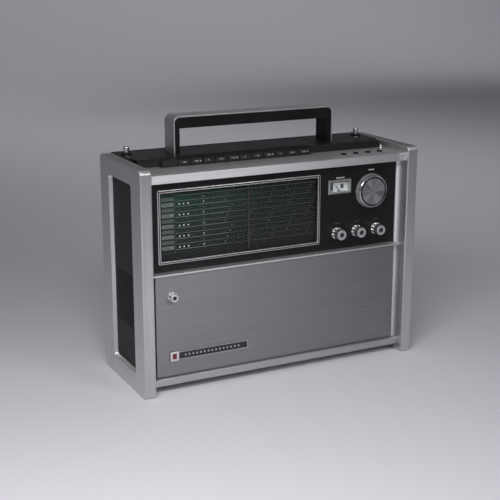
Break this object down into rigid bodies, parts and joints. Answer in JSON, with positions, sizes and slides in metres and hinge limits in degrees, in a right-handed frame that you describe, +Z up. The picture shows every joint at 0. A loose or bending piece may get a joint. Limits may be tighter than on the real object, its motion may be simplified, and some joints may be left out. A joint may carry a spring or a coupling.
{
  "type": "portable multi-band radio",
  "caption": "Mains and battery portable radio with metal end frames, dial panel, hinged front door, pull-up handle, band keys and telescopic antennas.",
  "frame": {"origin": "floor level, centre of the cabinet", "axes": "+X to the right seen from the front, +Y to the back, +Z up"},
  "size_m": [0.386, 0.1372, 0.3285],
  "materials": {
    "satin_aluminium": "brushed",
    "bright_trim": "polished",
    "brushed_door": "horizontally brushed",
    "chrome": "polished",
    "panel_black": "satin",
    "deck_black": "fine textured",
    "key_black": "semi-gloss",
    "grip_black": "leather grained",
    "grille_black": "matt",
    "clear_window": "clear",
    "scale_print": "matt with printed lines",
    "meter_face": "gloss",
    "pointer_orange": "satin",
    "drum_plastic": "moulded",
    "cord_fabric": "braided",
    "plated_steel": "plated",
    "speaker_paper": "matt",
    "rear_plastic": "fine textured",
    "pot_metal": "plated",
    "badge_black": "gloss enamel"
  },
  "bodies": {
    "cabinet": {"end_frame_left": "satin_aluminium", "end_frame_right": "satin_aluminium", "end_grille_left": "grille_black", "end_grille_right": "grille_black", "top_rail": "satin_aluminium", "base_tray": "satin_aluminium", "divider_ledge": "bright_trim", "side_trim_left": "bright_trim", "side_trim_right": "bright_trim", "dial_panel": "panel_black", "dial_bezel": "chrome", "dial_glass": "clear_window", "dial_scale": "scale_print", "meter_case": "meter_face", "meter_glass": "clear_window", "deck": "deck_black", "inner_panel": "panel_black", "rear_cover": "rear_plastic", "case_screws": "plated_steel", "chassis": "plated_steel", "tuning_gang": "plated_steel", "speaker_left": "speaker_paper", "speaker_right": "speaker_paper", "dial_cord": "cord_fabric", "control_pots": "pot_metal", "antenna_tube_left": "deck_black", "antenna_tube_right": "deck_black"},
    "front_door": {"door": "brushed_door", "door_knob": "chrome", "door_badge": "badge_black"},
    "handle": {"handle_shell": "satin_aluminium", "handle_grip": "grip_black"},
    "tuning": {"tuning_knob": "satin_aluminium", "tuning_shaft": "plated_steel"},
    "drum": {"dial_drum": "drum_plastic"},
    "pointer": {"dial_pointer": "pointer_orange"},
    "volume": {"volume_knob": "chrome"},
    "bass": {"bass_knob": "chrome"},
    "treble": {"treble_knob": "chrome"},
    "needle": {"meter_needle": "pointer_orange"},
    "light": {"light_button": "chrome"},
    "antenna_left_mid": {"antenna_mid_left": "chrome"},
    "antenna_left_rod": {"antenna_rod_left": "chrome"},
    "antenna_right_mid": {"antenna_mid_right": "chrome"},
    "antenna_right_rod": {"antenna_rod_right": "chrome"},
    "band_key_1": {"band_key_1": "key_black"},
    "band_key_2": {"band_key_2": "key_black"},
    "band_key_3": {"band_key_3": "key_black"},
    "band_key_4": {"band_key_4": "key_black"},
    "band_key_5": {"band_key_5": "key_black"},
    "band_key_6": {"band_key_6": "key_black"},
    "band_key_7": {"band_key_7": "key_black"},
    "band_key_8": {"band_key_8": "key_black"},
    "band_key_9": {"band_key_9": "key_black"},
    "band_key_10": {"band_key_10": "key_black"},
    "band_key_11": {"band_key_11": "key_black"},
    "function_button_1": {"function_button_1": "key_black"},
    "function_button_2": {"function_button_2": "key_black"},
    "function_button_3": {"function_button_3": "key_black"},
    "function_button_4": {"function_button_4": "key_black"}
  },
  "joints": [
    {"name": "door_hinge", "type": "hinge", "parent": "cabinet", "child": "front_door", "pos_m": [0.167, -0.0512, 0.084], "axis": [0, 0, 1], "range_deg": [0, 90]},
    {"name": "handle_slide", "type": "slide", "parent": "cabinet", "child": "handle", "axis": [0, 0, 1], "range_m": [-0.0306, 0]},
    {"name": "tuning_turn", "type": "hinge", "parent": "cabinet", "child": "tuning", "pos_m": [0.1357, -0.047, 0.2241], "axis": [0, 1, 0], "range_deg": [-1100, 1100]},
    {"name": "drum_turn", "type": "hinge", "parent": "cabinet", "child": "drum", "pos_m": [-0.04, -0.0345, 0.206], "axis": [0, 1, 0], "range_deg": [-92, 92]},
    {"name": "pointer_slide", "type": "slide", "parent": "cabinet", "child": "pointer", "axis": [1, 0, 0], "range_m": [-0.0865, 0.0865]},
    {"name": "volume_turn", "type": "hinge", "parent": "cabinet", "child": "volume", "pos_m": [0.085, -0.047, 0.1727], "axis": [0, 1, 0], "range_deg": [-150, 150]},
    {"name": "bass_turn", "type": "hinge", "parent": "cabinet", "child": "bass", "pos_m": [0.1149, -0.047, 0.1727], "axis": [0, 1, 0], "range_deg": [-150, 150]},
    {"name": "treble_turn", "type": "hinge", "parent": "cabinet", "child": "treble", "pos_m": [0.1448, -0.047, 0.1727], "axis": [0, 1, 0], "range_deg": [-150, 150]},
    {"name": "needle_swing", "type": "hinge", "parent": "cabinet", "child": "needle", "pos_m": [0.088, -0.045, 0.2288], "axis": [0, 1, 0], "range_deg": [0, 76], "stiffness_Nm_per_rad": 0.0001, "springref_deg": -17.19},
    {"name": "light_press", "type": "slide", "parent": "cabinet", "child": "light", "axis": [0, 0, 1], "range_m": [-0.002, 0], "stiffness_N_per_m": 300, "springref_m": 0.002},
    {"name": "band_key_1_press", "type": "slide", "parent": "cabinet", "child": "band_key_1", "axis": [0, 0, 1], "range_m": [-0.003, 0], "stiffness_N_per_m": 300, "springref_m": 0.002},
    {"name": "band_key_2_press", "type": "slide", "parent": "cabinet", "child": "band_key_2", "axis": [0, 0, 1], "range_m": [-0.003, 0], "stiffness_N_per_m": 300, "springref_m": 0.002},
    {"name": "band_key_3_press", "type": "slide", "parent": "cabinet", "child": "band_key_3", "axis": [0, 0, 1], "range_m": [-0.003, 0], "stiffness_N_per_m": 300, "springref_m": 0.002},
    {"name": "band_key_4_press", "type": "slide", "parent": "cabinet", "child": "band_key_4", "axis": [0, 0, 1], "range_m": [-0.003, 0], "stiffness_N_per_m": 300, "springref_m": 0.002},
    {"name": "band_key_5_press", "type": "slide", "parent": "cabinet", "child": "band_key_5", "axis": [0, 0, 1], "range_m": [-0.003, 0], "stiffness_N_per_m": 300, "springref_m": 0.002},
    {"name": "band_key_6_press", "type": "slide", "parent": "cabinet", "child": "band_key_6", "axis": [0, 0, 1], "range_m": [-0.003, 0], "stiffness_N_per_m": 300, "springref_m": 0.002},
    {"name": "band_key_7_press", "type": "slide", "parent": "cabinet", "child": "band_key_7", "axis": [0, 0, 1], "range_m": [-0.003, 0], "stiffness_N_per_m": 300, "springref_m": 0.002},
    {"name": "band_key_8_press", "type": "slide", "parent": "cabinet", "child": "band_key_8", "axis": [0, 0, 1], "range_m": [-0.003, 0], "stiffness_N_per_m": 300, "springref_m": 0.002},
    {"name": "band_key_9_press", "type": "slide", "parent": "cabinet", "child": "band_key_9", "axis": [0, 0, 1], "range_m": [-0.003, 0], "stiffness_N_per_m": 300, "springref_m": 0.002},
    {"name": "band_key_10_press", "type": "slide", "parent": "cabinet", "child": "band_key_10", "axis": [0, 0, 1], "range_m": [-0.003, 0], "stiffness_N_per_m": 300, "springref_m": 0.002},
    {"name": "band_key_11_press", "type": "slide", "parent": "cabinet", "child": "band_key_11", "axis": [0, 0, 1], "range_m": [-0.003, 0], "stiffness_N_per_m": 300, "springref_m": 0.002},
    {"name": "function_button_1_press", "type": "slide", "parent": "cabinet", "child": "function_button_1", "axis": [0, 0, 1], "range_m": [-0.0012, 0], "stiffness_N_per_m": 400, "springref_m": 0.002},
    {"name": "function_button_2_press", "type": "slide", "parent": "cabinet", "child": "function_button_2", "axis": [0, 0, 1], "range_m": [-0.0012, 0], "stiffness_N_per_m": 400, "springref_m": 0.002},
    {"name": "function_button_3_press", "type": "slide", "parent": "cabinet", "child": "function_button_3", "axis": [0, 0, 1], "range_m": [-0.0012, 0], "stiffness_N_per_m": 400, "springref_m": 0.002},
    {"name": "function_button_4_press", "type": "slide", "parent": "cabinet", "child": "function_button_4", "axis": [0, 0, 1], "range_m": [-0.0012, 0], "stiffness_N_per_m": 400, "springref_m": 0.002},
    {"name": "antenna_left_draw", "type": "slide", "parent": "cabinet", "child": "antenna_left_mid", "axis": [0, 0, 1], "range_m": [0, 0.2]},
    {"name": "antenna_left_tip_draw", "type": "slide", "parent": "antenna_left_mid", "child": "antenna_left_rod", "axis": [0, 0, 1], "range_m": [0, 0.2]},
    {"name": "antenna_right_draw", "type": "slide", "parent": "cabinet", "child": "antenna_right_mid", "axis": [0, 0, 1], "range_m": [0, 0.2]},
    {"name": "antenna_right_tip_draw", "type": "slide", "parent": "antenna_right_mid", "child": "antenna_right_rod", "axis": [0, 0, 1], "range_m": [0, 0.2]}
  ],
  "couplings": [
    {"joint": "drum_turn", "follows": "tuning_turn", "ratio": 0.081726},
    {"joint": "pointer_slide", "follows": "tuning_turn", "m_per_rad": 0.00445}
  ]
}
